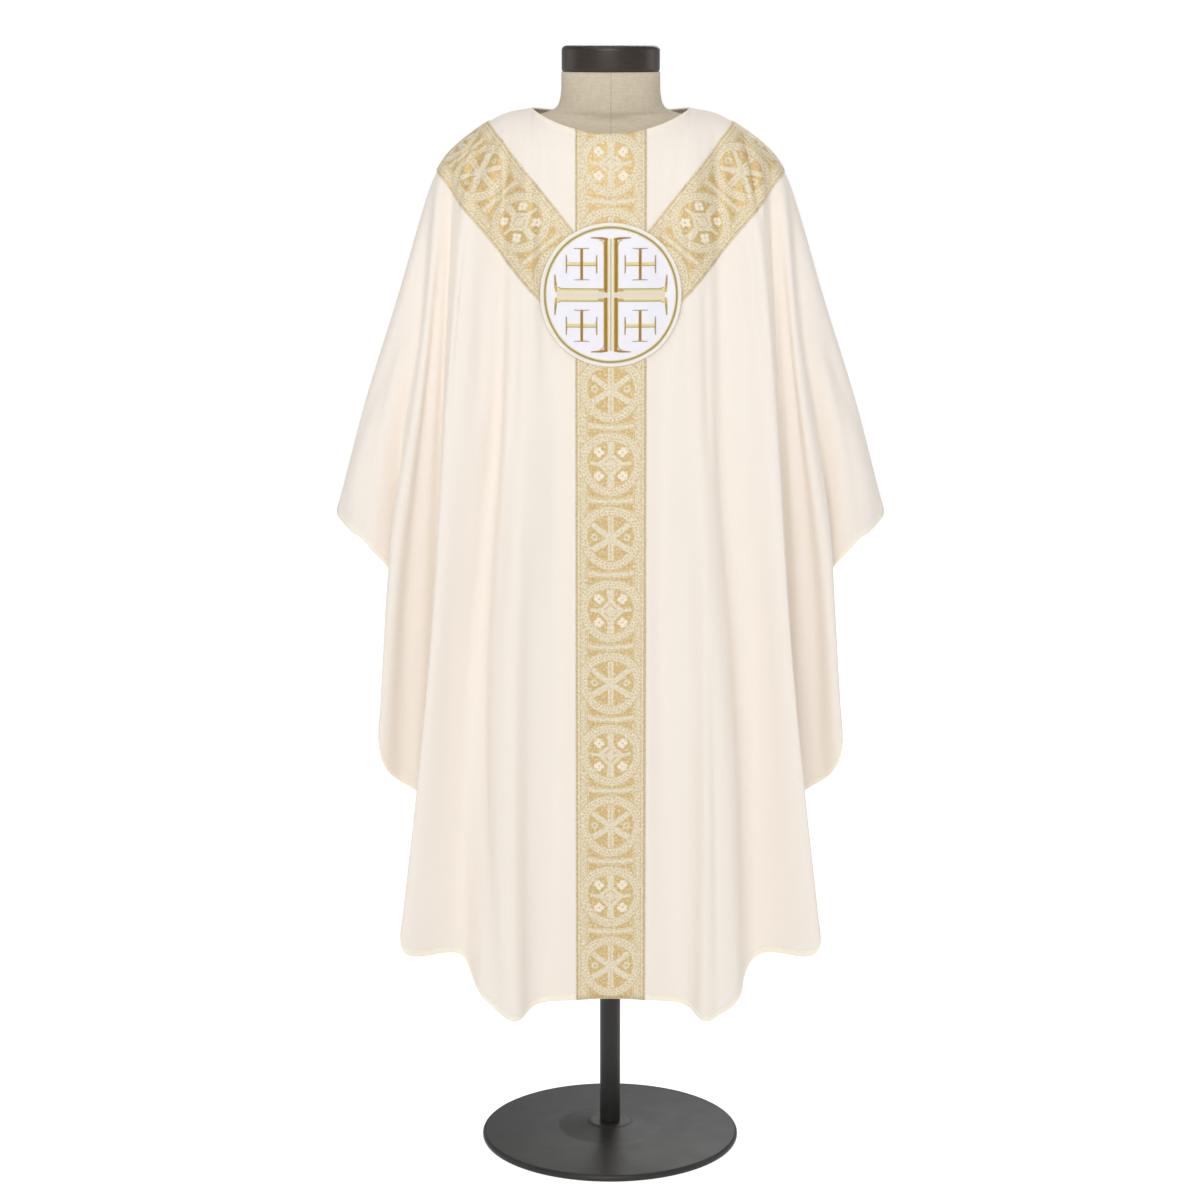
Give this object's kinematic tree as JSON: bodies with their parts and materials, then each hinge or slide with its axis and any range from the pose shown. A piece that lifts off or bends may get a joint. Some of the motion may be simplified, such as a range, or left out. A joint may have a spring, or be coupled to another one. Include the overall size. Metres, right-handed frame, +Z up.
{
  "type": "semi-gothic chasuble on a dress form",
  "caption": "Ivory vestment with side-draped folds, a Y-shaped gold brocade orphrey and an embroidered cross roundel, worn by a headless dress form on a pole stand.",
  "frame": {"origin": "middle of the underside of the stand's base, on the floor", "axes": "+Z up, the front of the vestment faces -Y, +X is to the right seen from the front"},
  "size_m": [0.7834, 0.38, 1.6013],
  "materials": {
    "ivory_crepe": "matt ivory crepe weave",
    "gold_brocade": "woven brocade with gold and ivory threads, soft lustre",
    "white_satin": "white satin with gold satin stitch",
    "ivory_cord": "twisted ivory cord with a gold line",
    "natural_linen": "plain woven natural linen, matt",
    "dark_stained_wood": "dark brown stain under satin varnish",
    "black_steel": "black powder coat, satin"
  },
  "bodies": {
    "root": {"front": "ivory_crepe", "back": "ivory_crepe", "orphrey_front": "gold_brocade", "orphrey_front_left": "gold_brocade", "orphrey_front_right": "gold_brocade", "orphrey_back": "gold_brocade", "orphrey_back_left": "gold_brocade", "orphrey_back_right": "gold_brocade", "roundel": "white_satin", "roundel_rim": "ivory_cord", "form_torso": "natural_linen", "form_neck_cap": "dark_stained_wood", "form_pole": "black_steel", "form_base": "black_steel"}
  },
  "joints": []
}
